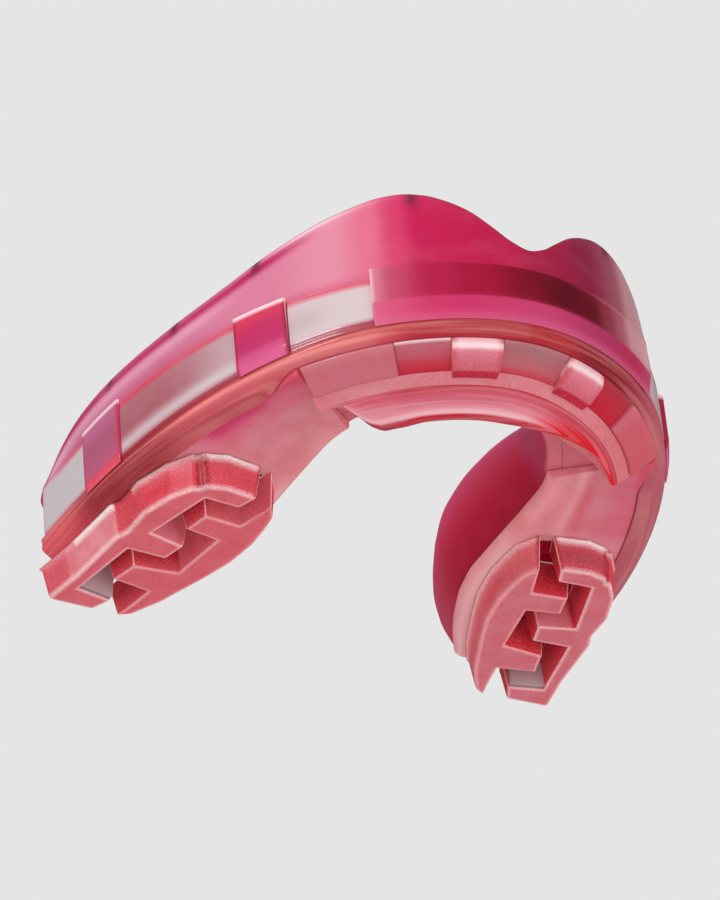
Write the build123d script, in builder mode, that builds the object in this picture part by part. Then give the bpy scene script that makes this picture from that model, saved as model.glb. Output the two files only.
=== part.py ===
from build123d import *
import os
from math import hypot

# ---------------------------------------------------------------------------
# Boil-and-bite mouthguard for the upper teeth.
# X runs across the mouth, -Y is the front, +Z points up towards the gums.
# Origin: middle of the bounding box in plan, on the plane that the molar bite
# pads rest on.  All profiles are written as (n, z) pairs across the dental
# arch: n is the distance outside the arch curve, z the height above the pads.
# ---------------------------------------------------------------------------

# driving dimensions ---------------------------------------------------------
SIZE = 1.07             # adult fit; scales every profile number below to mm
Y_MID = 20.5087         # middle of the arch along Y, before SIZE is applied
T_END = 1.05            # arch parameter at the rear ends of both arms

GAP = 0.03              # moulding line between neighbouring layers
WALL = 2.05             # gum flange thickness at the root
POCKET = 1.12           # depth of the window pocket round the outside
BAND_T = 0.267          # half-length of the front band along the arch
BAND_OUT = 0.55         # front band stands this far proud
BAND_TOP = 0.9          # front band above the window line
RIB_OUT = (0.62, 0.35)  # cheek ribs stand this far proud, and lose this much per unit of arch
RIBS = ((0.41, 0.505), (0.775, 0.88))                # cheek ribs, along the arch
PANES = ((0.267, 0.41), (0.505, 0.775), (0.88, 1.03)) # clear windows between them
FLOOR_LOW, FLOOR_TOP = 4.5, 5.7                      # floor of the tooth trough
PAD_TOP = 3.42          # height of the molar bite pads
PAD_DRAFT = 0.42        # draft of the pad walls at their root
LEAN = 0.40             # palatal flange leans inward by this much per mm
BAR_END = 0.41          # front bite bar ends here along the arch
ROW_SPLITS = (0.062, 0.148, 0.243, 0.405)            # blocks, recessed panes and shoulders
SHOULDER_OUT = 0.30     # shoulders stand this far proud of the panes
BAR_N = ((0, -8.0), (0.08, -7.9), (0.20, -7.4), (0.26, -7.0), (0.33, -6.3), (0.41, -5.5))
LIP_N = ((-0.365, -5.2), (-0.35, -6.2), (-0.33, -7.6), (-0.30, -8.25), (-0.26, -8.25), (-0.20, -8.05),
         (-0.09, -8.0), (0.0, -7.95), (0.08, -7.6), (0.14, -7.1), (0.20, -6.5), (0.28, -5.8),
         (0.36, -5.4), (0.41, -5.2))               # the lip reaches further on the right of the mouth
FIN_T = (0.188, 0.33, 0.465, 0.641, 0.811, 0.95)     # fit fins in the tooth trough
FIN_W = 0.008           # half-width of a fit fin, along the arch

# station positions along the arch, shared by every lofted piece
STATIONS = (0.0, 0.03, 0.062, 0.098, 0.148, 0.17, 0.21, 0.243, 0.267, 0.31, 0.365,
            0.41, 0.46, 0.505, 0.55, 0.60, 0.65, 0.70, 0.74, 0.775, 0.83,
            0.88, 0.93, 0.98, 1.01, 1.03, 1.04, 1.05)

# tables over the arch parameter ----------------------------------------------
ARCH_T = (0.0, 1 / 6, 1 / 3, 0.5, 2 / 3, 5 / 6, 1.0)
ARCH_X = (0.0, 9.2, 16.5, 21.75, 25.08, 26.89, 27.49)
ARCH_Y = (-3.11, -0.67, 4.88, 12.65, 21.52, 30.82, 40.33)
PANE_LOW = (6.91, 6.59, 6.19, 5.78, 5.47, 5.40, 5.59)
PANE_HIGH = (10.32, 10.49, 10.69, 10.92, 11.06, 11.04, 10.82)
RIM_Z = ((0, 14.9), (0.03, 15.5), (0.06, 16.8), (0.098, 18.5), (0.135, 19.6), (0.17, 20.3),
         (0.21, 20.6), (0.243, 20.5), (0.29, 20.0), (0.34, 19.4), (0.40, 18.5), (0.47, 17.5),
         (0.52, 16.8), (0.60, 16.2), (0.70, 15.9), (0.84, 15.8), (0.92, 15.5), (0.97, 14.8),
         (1.01, 13.6), (1.03, 12.4), (1.04, 11.6), (1.05, 10.7))
SEAM_N = ((0, -9.3), (0.10, -9.5), (0.23, -9.9), (0.30, -10.2), (0.35, -10.5), (0.42, -11.0),
          (0.47, -11.6), (0.53, -12.6), (0.59, -13.5), (0.66, -14.4), (0.73, -15.1),
          (0.80, -15.5), (0.87, -15.2), (0.94, -14.2), (1.00, -12.8), (1.06, -10.9))
PALATE_Z = ((0, 7.4), (0.20, 7.4), (0.33, 8.3), (0.42, 10.0), (0.50, 11.0), (0.58, 11.4),
            (0.66, 11.5), (0.74, 11.2), (0.82, 10.6), (0.90, 9.9), (0.97, 9.4),
            (1.02, 8.9), (1.05, 7.6))


def spline(xs, ys, flat_start):
    """Second derivatives of a cubic spline through the points (start slope 0 or free)."""
    n = len(xs)
    lo, di, up, rhs = [0.0] * n, [1.0] * n, [0.0] * n, [0.0] * n
    if flat_start:
        h = xs[1] - xs[0]
        di[0], up[0], rhs[0] = h / 3, h / 6, (ys[1] - ys[0]) / h
    for i in range(1, n - 1):
        a, b = xs[i] - xs[i - 1], xs[i + 1] - xs[i]
        lo[i], di[i], up[i] = a / 6, (a + b) / 3, b / 6
        rhs[i] = (ys[i + 1] - ys[i]) / b - (ys[i] - ys[i - 1]) / a
    for i in range(1, n):
        m = lo[i] / di[i - 1]
        di[i] -= m * up[i - 1]
        rhs[i] -= m * rhs[i - 1]
    m2 = [0.0] * n
    m2[-1] = rhs[-1] / di[-1]
    for i in range(n - 2, -1, -1):
        m2[i] = (rhs[i] - up[i] * m2[i + 1]) / di[i]
    return m2


def on_spline(xs, ys, m2, x):
    i = 0
    while i < len(xs) - 2 and x > xs[i + 1]:
        i += 1
    h = xs[i + 1] - xs[i]
    a, b = (xs[i + 1] - x) / h, (x - xs[i]) / h
    return a * ys[i] + b * ys[i + 1] + ((a ** 3 - a) * m2[i] + (b ** 3 - b) * m2[i + 1]) * h * h / 6


def curve(xs, ys, flat_start):
    m2 = spline(xs, ys, flat_start)
    return lambda s: on_spline(xs, ys, m2, s)


def table(pairs):
    xs, ys = [p[0] for p in pairs], [p[1] for p in pairs]

    def read(s):
        if s >= xs[-1]:
            return ys[-1]
        s = max(s, xs[0])
        i = 0
        while s > xs[i + 1]:
            i += 1
        return ys[i] + (ys[i + 1] - ys[i]) * (s - xs[i]) / (xs[i + 1] - xs[i])
    return read


arch_x = curve(ARCH_T, ARCH_X, False)
arch_y = curve(ARCH_T, ARCH_Y, True)
low_line = curve(ARCH_T, PANE_LOW, True)
high_line = curve(ARCH_T, PANE_HIGH, True)
rim_z, seam_n, palate_z = table(RIM_Z), table(SEAM_N), table(PALATE_Z)
bar_n, lip_n = table(BAR_N), table(LIP_N)


def arch_frame(t):
    """Point on the arch curve and its outward normal, before SIZE."""
    s, side = abs(t), (1 if t >= 0 else -1)
    e = 1e-4
    s0 = max(s - e, 0.0)
    dx = (arch_x(s + e) - arch_x(s0)) / (s + e - s0)
    dy = (arch_y(s + e) - arch_y(s0)) / (s + e - s0)
    if s < 1e-9:
        dy = 0.0
    length = hypot(dx, dy)
    return side * arch_x(s), arch_y(s), side * dy / length, -dx / length


def section_plane(t):
    """Upright plane across the arch: x points outward, y points up."""
    x, y, nx, ny = arch_frame(t)
    return Plane(origin=(SIZE * x, SIZE * (y - Y_MID), 0), x_dir=(nx, ny, 0), z_dir=(ny, -nx, 0))


def mm(points):
    return [(SIZE * a, SIZE * b) for a, b in points]


def plan(points):
    """Arch points (t, n) to plan coordinates in mm."""
    out = []
    for t, n in points:
        x, y, nx, ny = arch_frame(t)
        out.append((SIZE * (x + n * nx), SIZE * (y + n * ny - Y_MID)))
    return out


def grown(points, d):
    """Plan outline (counter-clockwise or clockwise) moved outward by d."""
    area = sum(p[0] * q[1] - q[0] * p[1] for p, q in zip(points, points[1:] + points[:1]))
    sign = 1 if area > 0 else -1
    out = []
    for i, p in enumerate(points):
        a, b = points[i - 1], points[(i + 1) % len(points)]
        ux, uy = p[0] - a[0], p[1] - a[1]
        vx, vy = b[0] - p[0], b[1] - p[1]
        lu, lv = hypot(ux, uy), hypot(vx, vy)
        n1 = (sign * uy / lu, -sign * ux / lu)
        n2 = (sign * vy / lv, -sign * vx / lv)
        k = max(1 + n1[0] * n2[0] + n1[1] * n2[1], 0.5)
        out.append((p[0] + d * (n1[0] + n2[0]) / k, p[1] + d * (n1[1] + n2[1]) / k))
    return out


def run(a, b):
    """Stations from a to b along the arch, both ends included."""
    every = sorted(set([-s for s in STATIONS] + list(STATIONS)))
    return [a] + [t for t in every if a + 0.004 < t < b - 0.004] + [b]


def pane_top(s):
    return min(high_line(s), rim_z(s) - 1.3)


def pane_low(s):
    return min(low_line(s), pane_top(s) - 1.0)


# cross-sections ---------------------------------------------------------------
def flange_section(t):
    s = abs(t)
    top, line = rim_z(s), pane_top(s) + GAP
    return [(-POCKET - GAP, FLOOR_LOW + GAP), (-POCKET - GAP, line), (-0.15, line),
            (-0.22, line + 0.45), (-0.55, top - 0.6), (-0.95, top - 0.1), (-1.6, top - 0.05),
            (-2.15, top - 0.6), (-POCKET - WALL, FLOOR_TOP), (-POCKET - WALL, FLOOR_LOW + GAP)]


def flange_inner_n(s, z):
    top = rim_z(s) - 0.6
    return -POCKET - WALL + (POCKET + WALL - 2.15) * (z - FLOOR_TOP) / (top - FLOOR_TOP)


def floor_section(t):
    n_in = seam_n(abs(t)) + 1.3
    n_out = -POCKET - WALL - GAP
    return [(n_out, FLOOR_LOW + GAP), (n_out, FLOOR_TOP), ((n_in + n_out) / 2, FLOOR_TOP - 0.25),
            (n_in, FLOOR_TOP), (n_in, FLOOR_LOW + GAP)]


def palatal_section(t):
    s = abs(t)
    n, top = seam_n(s), palate_z(s)
    tip = n - LEAN * (top - FLOOR_LOW)
    return [(n, FLOOR_LOW + GAP), (tip + 0.15, top - 0.7), (tip + 0.45, top - 0.1),
            (tip + 0.95, top - 0.15), (tip + 1.25, top - 0.8), (n + 1.3 - GAP, FLOOR_TOP),
            (n + 1.3 - GAP, FLOOR_LOW + GAP)]


def band_section(t):
    s = abs(t)
    lo, hi = pane_low(s), pane_top(s)
    return [(-POCKET, lo), (GAP, lo), (GAP, 5.5), (0.12, 5.45), (BAND_OUT, 7.7),
            (BAND_OUT, hi + BAND_TOP), (-0.1, hi + BAND_TOP), (-0.1, hi), (-POCKET, hi)]


def rib_section(t):
    s = abs(t)
    lo, hi = pane_low(s), pane_top(s)
    out = RIB_OUT[0] - RIB_OUT[1] * s
    return [(-POCKET, lo), (GAP, lo), (GAP, lo - 0.75), (0.15, lo - 0.75), (out - 0.05, lo + 0.1),
            (out, hi + 0.3), (out - 0.25, hi + 0.55), (-0.1, hi + 0.55), (-0.1, hi), (-POCKET, hi)]


def window_section(t):
    s = abs(t)
    lo, hi = pane_low(s), pane_top(s)
    return [(-POCKET, lo), (0.0, lo), (0.0, hi), (-POCKET, hi)]


def behind_bar(s):
    """0 over the front bite bar, 1 a little way behind it."""
    return min(max((s - BAR_END) / 0.09, 0.0), 1.0)


def lower_rim_section(t):
    s = abs(t)
    lo = pane_low(s) - GAP
    w = behind_bar(s)
    e = (-0.82 - 0.58 * w, 4.50 - 1.03 * w)
    f = (-1.05 - 1.55 * w, 4.36 - 0.86 * w)
    g = (-1.10 - 1.56 * w, 4.40 - 0.86 * w)
    return [(-POCKET, lo), (0.0, lo), (-0.05, lo - 0.75), (-0.40, lo - 1.35), e, f, g,
            (-1.12 - 1.55 * w, FLOOR_LOW - GAP), (-1.09 - 0.03 * w, 4.58 - 0.11 * w)]


ROW_A, ROW_B, ROW_M = (-1.15, 4.30), (-3.55, 2.55), (0.589, -0.808)


def bar_scale(s):
    """Reach of the front bar inward, 1 at the middle, less towards its ends."""
    return (bar_n(s) + 4.8) / -3.2


def bar_section(t):
    s = abs(t)
    k = bar_scale(s)
    back = max(seam_n(s) + 0.1, -9.2 * k - 0.6 * (1 - k))
    return [(-1.33, FLOOR_LOW - GAP), (-3.87, 2.88), (-3.60, 2.51), (-4.77, 1.84),
            (-4.97, 2.62), (-4.97 - 3.95 * k, 2.62 - 0.3 * k), (min(back, -5.6), FLOOR_LOW - GAP)]


def lip_section(t):
    k = (lip_n(t) + 4.8) / -3.2
    return [(-4.8, 1.8), (-4.8 - 3.2 * k, 1.8 - 1.12 * k), (-5.0 - 3.9 * k, 2.1 - 0.8 * k),
            (-5.0 - 3.95 * k, 2.59 - 0.3 * k), (-5.0, 2.59)]


def pane_row_section(t):
    (an, az), (bn, bz), (mn, mz) = ROW_A, ROW_B, ROW_M
    return [(an, az), (bn, bz), (bn - 0.42 * mn, bz - 0.42 * mz), (an - 0.20 * mn, az - 0.20 * mz)]


def shoulder_section(t):
    (an, az), (bn, bz), (mn, mz) = ROW_A, ROW_B, ROW_M
    o = SHOULDER_OUT
    return [(an, az), (an + o * mn, az + o * mz), (bn + o * mn, bz + o * mz), (bn, bz),
            (bn - 0.42 * mn, bz - 0.42 * mz), (an - 0.20 * mn, az - 0.20 * mz)]


def block_section(t):
    (an, az), (bn, bz), (mn, mz) = ROW_A, ROW_B, ROW_M
    return [(an - 0.20 * mn, az - 0.20 * mz), (an, az), (-1.46, 3.20), (-2.86, 2.19), (-3.95, 1.98),
            (-3.93, 2.27), (-3.56, 2.49), (bn - 0.42 * mn, bz - 0.42 * mz)]


def skin_section(t):
    s = abs(t)
    n = seam_n(s)
    rise = 0.62 * max(0.0, 1.0 - abs(s - 0.50) / 0.13)
    out, top = -1.19 - 1.55 * behind_bar(s), FLOOR_LOW - GAP
    return [(out, top), (out, 3.62), (out - 2.2, 3.47 + rise), (0.55 * n, 3.52 + rise),
            (0.8 * n, 3.50 + 0.5 * rise), (n + 0.45, 3.46), (n, 3.85), (n, top)]


def outer_fin_section(s, t):
    top = rim_z(s) - 1.9
    g = lambda z: flange_inner_n(s, z) - 0.06
    return [(g(FLOOR_TOP + 0.1), FLOOR_TOP + 0.1), (g(top), top), (g(top - 1.2) - 0.7, top - 1.2),
            (g(FLOOR_TOP + 0.6) - 0.95, FLOOR_TOP + 0.6), (g(FLOOR_TOP + 0.1) - 0.95, FLOOR_TOP + 0.1)]


def inner_fin_section(s, t):
    n, top = seam_n(s), palate_z(s)
    tip = n - LEAN * (top - FLOOR_LOW)
    k = (n + 1.3 - GAP - tip - 1.25) / (top - 0.8 - FLOOR_TOP)
    face = lambda z: n + 1.3 - GAP - k * (z - FLOOR_TOP) + 0.2
    hi, lo = top - 1.4, FLOOR_TOP + 0.1
    return [(face(lo), lo), (face(hi), hi), (face(hi - 0.8) + 0.6, hi - 0.8), (face(lo) + 0.85, lo + 0.5),
            (face(lo) + 0.85, lo)]


# plan outlines of the molar bite pads, as (t, n) -------------------------------
OUTER_PAD = [(0.636, -9.27), (0.645, -6.3), (0.664, -4.55), (0.676, -4.45), (0.680, -3.85), (0.72, -2.95),
             (0.783, -2.40), (0.842, -2.72), (0.865, -2.20), (0.985, -1.85), (1.062, -1.15),
             (1.06, -5.6), (1.0275, -6.5), (1.0165, -2.95),
             (0.883, -4.1), (0.881, -7.9), (0.833, -8.4), (0.823, -4.74), (0.691, -5.6), (0.678, -9.0)]
INNER_PAD = [(0.639, -11.25), (0.722, -10.87), (0.731, -7.3), (0.784, -7.1), (0.786, -10.5), (0.91, -10.1),
             (0.922, -5.85), (0.971, -5.15), (0.981, -9.0), (1.025, -8.6), (1.06, -8.2), (1.05, -9.3),
             (1.0, -10.9), (0.909, -12.7), (0.84, -13.6), (0.76, -13.7), (0.70, -13.1), (0.665, -12.5)]
# zigzag channel between the two pads, cut through the bite skin
SLOT = [(0.645, -9.65), (0.684, -9.4), (0.697, -6.1), (0.818, -5.2), (0.827, -8.8), (0.889, -8.35),
        (0.889, -4.55), (1.002, -3.4), (1.012, -6.9), (1.075, -6.2), (1.075, -7.7), (1.03, -8.1),
        (0.983, -8.4), (0.981, -4.75), (0.912, -5.45), (0.911, -9.6), (0.794, -10.0), (0.793, -6.7),
        (0.722, -6.85), (0.714, -10.4), (0.645, -10.8)]
# clear panel against the last cross wall of the channel: foot and head outlines
PANEL_FOOT = [(1.0152, -6.4), (1.0045, -3.1), (1.0160, -3.1), (1.0267, -6.4)]
PANEL_HEAD = [(1.0083, -6.4), (0.9991, -3.55), (1.0106, -3.55), (1.0198, -6.4)]
PANEL_Z = (0.15, 3.30)

# ---------------------------------------------------------------------------
# soft fit body
# ---------------------------------------------------------------------------
with BuildPart() as gum_flange:
    for t in run(-T_END, T_END):
        with BuildSketch(section_plane(t)):
            with BuildLine():
                Polyline(*mm(flange_section(t)), close=True)
            make_face()
    loft(ruled=True)
gum_flange.part.label = "gum_flange"

with BuildPart() as trough_floor:
    for t in run(-T_END, T_END):
        with BuildSketch(section_plane(t)):
            with BuildLine():
                Polyline(*mm(floor_section(t)), close=True)
            make_face()
    loft(ruled=True)
trough_floor.part.label = "trough_floor"

with BuildPart() as palatal_flange:
    for t in run(-T_END, T_END):
        with BuildSketch(section_plane(t)):
            with BuildLine():
                Polyline(*mm(palatal_section(t)), close=True)
            make_face()
    loft(ruled=True)
palatal_flange.part.label = "palatal_flange"

with BuildPart() as outer_fit_fins:
    for c in FIN_T:
        for t0, t1 in ((c - FIN_W, c + FIN_W), (-c - FIN_W, -c + FIN_W)):
            for t in (t0, t1):
                with BuildSketch(section_plane(t)):
                    with BuildLine():
                        Polyline(*mm(outer_fin_section(c, t)), close=True)
                    make_face()
            loft(ruled=True)
outer_fit_fins.part.label = "outer_fit_fins"

with BuildPart() as inner_fit_fins:
    for c in FIN_T[2:]:
        for t0, t1 in ((c - FIN_W, c + FIN_W), (-c - FIN_W, -c + FIN_W)):
            for t in (t0, t1):
                with BuildSketch(section_plane(t)):
                    with BuildLine():
                        Polyline(*mm(inner_fin_section(c, t)), close=True)
                    make_face()
            loft(ruled=True)
inner_fit_fins.part.label = "inner_fit_fins"

# ---------------------------------------------------------------------------
# outer cage: rim, front band, ribs and windows
# ---------------------------------------------------------------------------
with BuildPart() as lower_rim:
    for t in run(-T_END, T_END):
        with BuildSketch(section_plane(t)):
            with BuildLine():
                Polyline(*mm(lower_rim_section(t)), close=True)
            make_face()
    loft(ruled=True)
lower_rim.part.label = "lower_rim"

with BuildPart() as front_band:
    for t in run(-BAND_T, BAND_T):
        with BuildSketch(section_plane(t)):
            with BuildLine():
                Polyline(*mm(band_section(t)), close=True)
            make_face()
    loft(ruled=True)
front_band.part.label = "front_band"

with BuildPart() as left_cheek_ribs:
    for a, b in RIBS:
        for t in run(a + 0.0006, b - 0.0006):
            with BuildSketch(section_plane(t)):
                with BuildLine():
                    Polyline(*mm(rib_section(t)), close=True)
                make_face()
        loft(ruled=True)
left_cheek_ribs.part.label = "left_cheek_ribs"

with BuildPart() as right_cheek_ribs:
    mirror(left_cheek_ribs.part, about=Plane.YZ)
right_cheek_ribs.part.label = "right_cheek_ribs"

with BuildPart() as left_clear_windows:
    for a, b in PANES:
        for t in run(a + 0.0006, b - 0.0006):
            with BuildSketch(section_plane(t)):
                with BuildLine():
                    Polyline(*mm(window_section(t)), close=True)
                make_face()
        loft(ruled=True)
left_clear_windows.part.label = "left_clear_windows"

with BuildPart() as right_clear_windows:
    mirror(left_clear_windows.part, about=Plane.YZ)
right_clear_windows.part.label = "right_clear_windows"

# ---------------------------------------------------------------------------
# front bite bar
# ---------------------------------------------------------------------------
with BuildPart() as front_bite_bar:
    for t in run(-BAR_END, BAR_END):
        with BuildSketch(section_plane(t)):
            with BuildLine():
                Polyline(*mm(bar_section(t)), close=True)
            make_face()
    loft(ruled=True)
front_bite_bar.part.label = "front_bite_bar"

with BuildPart() as front_lip:
    for t in run(LIP_N[0][0], BAR_END):
        with BuildSketch(section_plane(t)):
            with BuildLine():
                Polyline(*mm(lip_section(t)), close=True)
            make_face()
    loft(ruled=True)
front_lip.part.label = "front_lip"

with BuildPart() as front_bite_panes:
    c0, c1, c2, c3 = ROW_SPLITS
    for a, b, section in ((-c3, -c2, shoulder_section), (-c2, -c1, pane_row_section),
                          (-c0, c0, pane_row_section), (c1, c2, pane_row_section),
                          (c2, c3, shoulder_section)):
        for t in run(a + 0.0008, b - 0.0008):
            with BuildSketch(section_plane(t)):
                with BuildLine():
                    Polyline(*mm(section(t)), close=True)
                make_face()
        loft(ruled=True)
front_bite_panes.part.label = "front_bite_panes"

with BuildPart() as front_bite_blocks:
    for a, b in ((-c1, -c0), (c0, c1)):
        for t in run(a + 0.0008, b - 0.0008):
            with BuildSketch(section_plane(t)):
                with BuildLine():
                    Polyline(*mm(block_section(t)), close=True)
                make_face()
        loft(ruled=True)
front_bite_blocks.part.label = "front_bite_blocks"

# ---------------------------------------------------------------------------
# molar bite surfaces: a skin under the trough floor and two raised pads a side
# ---------------------------------------------------------------------------
with BuildPart() as left_bite_skin:
    for t in run(BAR_END + 0.0006, T_END):
        with BuildSketch(section_plane(t)):
            with BuildLine():
                Polyline(*mm(skin_section(t)), close=True)
            make_face()
    loft(ruled=True)
    with BuildSketch(Plane.XY.offset(SIZE * 3.2)):
        with BuildLine():
            Polyline(*plan(SLOT), close=True)
        make_face()
    extrude(amount=SIZE * 1.6, mode=Mode.SUBTRACT)
left_bite_skin.part.label = "left_bite_skin"

with BuildPart() as right_bite_skin:
    mirror(left_bite_skin.part, about=Plane.YZ)
right_bite_skin.part.label = "right_bite_skin"

with BuildPart() as left_outer_bite_pad:
    with BuildSketch(Plane.XY):
        with BuildLine():
            Polyline(*plan(OUTER_PAD), close=True)
        make_face()
    with BuildSketch(Plane.XY.offset(SIZE * PAD_TOP)):
        with BuildLine():
            Polyline(*grown(plan(OUTER_PAD), PAD_DRAFT), close=True)
        make_face()
    loft(ruled=True)
left_outer_bite_pad.part.label = "left_outer_bite_pad"

with BuildPart() as right_outer_bite_pad:
    mirror(left_outer_bite_pad.part, about=Plane.YZ)
right_outer_bite_pad.part.label = "right_outer_bite_pad"

with BuildPart() as left_inner_bite_pad:
    with BuildSketch(Plane.XY):
        with BuildLine():
            Polyline(*plan(INNER_PAD), close=True)
        make_face()
    with BuildSketch(Plane.XY.offset(SIZE * PAD_TOP)):
        with BuildLine():
            Polyline(*grown(plan(INNER_PAD), PAD_DRAFT), close=True)
        make_face()
    loft(ruled=True)
left_inner_bite_pad.part.label = "left_inner_bite_pad"

with BuildPart() as right_inner_bite_pad:
    mirror(left_inner_bite_pad.part, about=Plane.YZ)
right_inner_bite_pad.part.label = "right_inner_bite_pad"

with BuildPart() as slot_windows:
    with BuildSketch(Plane.XY.offset(SIZE * PANEL_Z[0])):
        with BuildLine():
            Polyline(*plan(PANEL_FOOT), close=True)
        make_face()
    with BuildSketch(Plane.XY.offset(SIZE * PANEL_Z[1])):
        with BuildLine():
            Polyline(*plan(PANEL_HEAD), close=True)
        make_face()
    loft(ruled=True)
    mirror(about=Plane.YZ)
slot_windows.part.label = "slot_windows"

# ---------------------------------------------------------------------------
os.makedirs("parts", exist_ok=True)
for piece in (gum_flange, trough_floor, palatal_flange, outer_fit_fins, inner_fit_fins, lower_rim,
              front_band, left_cheek_ribs, right_cheek_ribs, left_clear_windows, right_clear_windows,
              front_bite_bar, front_lip, front_bite_panes, front_bite_blocks, left_bite_skin,
              right_bite_skin, left_outer_bite_pad, right_outer_bite_pad, left_inner_bite_pad,
              right_inner_bite_pad, slot_windows):
    export_step(piece.part, f"parts/{piece.part.label}.step")
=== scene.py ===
# A horseshoe-shaped bite guard made of translucent mouldings.
# The arch's midpoint lies towards -Y and its two open ends point to +Y; +X is the "left" side.
# The bite pads face down with their lowest faces on z = 0; the outer and palatal walls rise
# above them.  The camera looks up at the bite face from below.
import bpy
import bmesh
import math
import numpy as np
from mathutils import Vector, Matrix


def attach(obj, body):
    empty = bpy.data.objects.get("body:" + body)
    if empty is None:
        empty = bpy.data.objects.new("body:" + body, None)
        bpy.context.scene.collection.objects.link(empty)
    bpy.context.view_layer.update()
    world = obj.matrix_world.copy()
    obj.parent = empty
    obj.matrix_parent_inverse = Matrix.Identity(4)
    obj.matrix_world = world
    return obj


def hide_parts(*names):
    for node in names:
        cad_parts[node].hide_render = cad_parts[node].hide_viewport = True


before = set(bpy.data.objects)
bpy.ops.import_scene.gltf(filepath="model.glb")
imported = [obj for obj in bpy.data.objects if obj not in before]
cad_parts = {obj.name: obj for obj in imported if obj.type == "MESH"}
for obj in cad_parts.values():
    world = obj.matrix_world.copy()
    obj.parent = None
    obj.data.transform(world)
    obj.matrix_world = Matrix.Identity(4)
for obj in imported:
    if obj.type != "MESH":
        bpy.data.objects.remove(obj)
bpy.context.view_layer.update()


# ---------------------------------------------------------------------------
# Dimensions, in drawing units.  A point is given as
#   pos: station along the arch, 0 at the midpoint, +1 / -1 near the left / right end
#   out: distance from the arch line, positive outwards
#   z:   height
# "far" is the unsigned station.
# ---------------------------------------------------------------------------
UNIT = 1.07e-3            # metres in a drawing unit
MID_Y = 20.5087           # arch y that is put at the world origin
ARCH_END = 1.05
GAP = 0.03                # clearance between neighbouring pieces
POCKET, WALL = 1.12, 2.05     # recess behind the windows, thickness of the flange foot
WALL_BACK = -POCKET - WALL
FLANGE_BACK_MID, FLANGE_BACK_TOP = -2.6, -2.12    # out of the flange's inner face
FLOOR_LOW, FLOOR_TOP = 4.5, 5.7
SHELL_LOW, BITE_TOP = FLOOR_LOW + GAP, FLOOR_LOW - GAP    # either side of the joint plane
SEAM_WIDTH = 1.3          # foot of the palatal wall
LEAN = 0.40               # inward lean of the palatal wall for each unit of height
BAND_END, BAND_OUT, BAND_TOP = 0.267, 0.55, 0.9
RIBS = ((0.41, 0.505), (0.775, 0.88))
WINDOWS = ((BAND_END, RIBS[0][0]), (RIBS[0][1], RIBS[1][0]), (RIBS[1][1], 1.03))
RIB_OUT, RIB_TAPER = 0.62, 0.35
PAD_TOP, PAD_DRAFT = 3.42, 0.42
SLOT_PANE_LOW, SLOT_PANE_TOP = 0.15, 3.30
BAR_END, BAR_FADE = 0.41, 0.09
LIP_START = -0.365
# Far edges of the front pieces: middle pane, block, side pane, shoulder
MIDDLE_END, BLOCK_END, SIDE_END, SHOULDER_END = 0.062, 0.148, 0.243, 0.405
SHOULDER_OUT = 0.30
SPLIT, ROW_SPLIT = 0.0006, 0.0008      # stations left free at a joint
FINS = (0.188, 0.33, 0.465, 0.641, 0.811, 0.95)
SHADED_FINS = (0.188, 0.465, 0.641, 0.811)    # fins that show through the flange
FIN_HALF = 0.008

# The arch line and the lower and upper edges of the windows, by station
ARCH_STATIONS = np.array([0, 1 / 6, 1 / 3, 0.5, 2 / 3, 5 / 6, 1.0])
ARCH_X = np.array([0, 9.2, 16.5, 21.75, 25.08, 26.89, 27.49])
ARCH_Y = np.array([-3.11, -0.67, 4.88, 12.65, 21.52, 30.82, 40.33])
WINDOW_LOW = np.array([6.91, 6.59, 6.19, 5.78, 5.47, 5.40, 5.59])
WINDOW_HIGH = np.array([10.32, 10.49, 10.69, 10.92, 11.06, 11.04, 10.82])

# (station, height) along the flange's top edge
RIM_Z = ((0, 14.9), (0.03, 15.5), (0.06, 16.8), (0.098, 18.5), (0.135, 19.6), (0.17, 20.3),
         (0.21, 20.6), (0.243, 20.5), (0.29, 20.0), (0.34, 19.4), (0.40, 18.5), (0.47, 17.5),
         (0.52, 16.8), (0.60, 16.2), (0.70, 15.9), (0.84, 15.8), (0.92, 15.5), (0.97, 14.8),
         (1.01, 13.6), (1.03, 12.4), (1.04, 11.6), (1.05, 10.7))
# (station, out) along the inner edge of the guard
SEAM_OUT = ((0, -9.3), (0.10, -9.5), (0.23, -9.9), (0.30, -10.2), (0.35, -10.5), (0.42, -11.0),
            (0.47, -11.6), (0.53, -12.6), (0.59, -13.5), (0.66, -14.4), (0.73, -15.1),
            (0.80, -15.5), (0.87, -15.2), (0.94, -14.2), (1.00, -12.8), (1.06, -10.9))
# (station, height) along the palatal wall's top edge
PALATE_Z = ((0, 7.4), (0.20, 7.4), (0.33, 8.3), (0.42, 10.0), (0.50, 11.0), (0.58, 11.4),
            (0.66, 11.5), (0.74, 11.2), (0.82, 10.6), (0.90, 9.9), (0.97, 9.4),
            (1.02, 8.9), (1.05, 7.6))
# (station, out) of the inner edges of the front bar and the lip; the lip's are signed
BAR_OUT = ((0, -8.0), (0.08, -7.9), (0.20, -7.4), (0.26, -7.0), (0.33, -6.3), (0.41, -5.5))
LIP_OUT = ((-0.365, -5.2), (-0.35, -6.2), (-0.33, -7.6), (-0.30, -8.25), (-0.26, -8.25),
           (-0.20, -8.05), (-0.09, -8.0), (0.0, -7.95), (0.08, -7.6), (0.14, -7.1),
           (0.20, -6.5), (0.28, -5.8), (0.36, -5.4), (0.41, -5.2))

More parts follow.
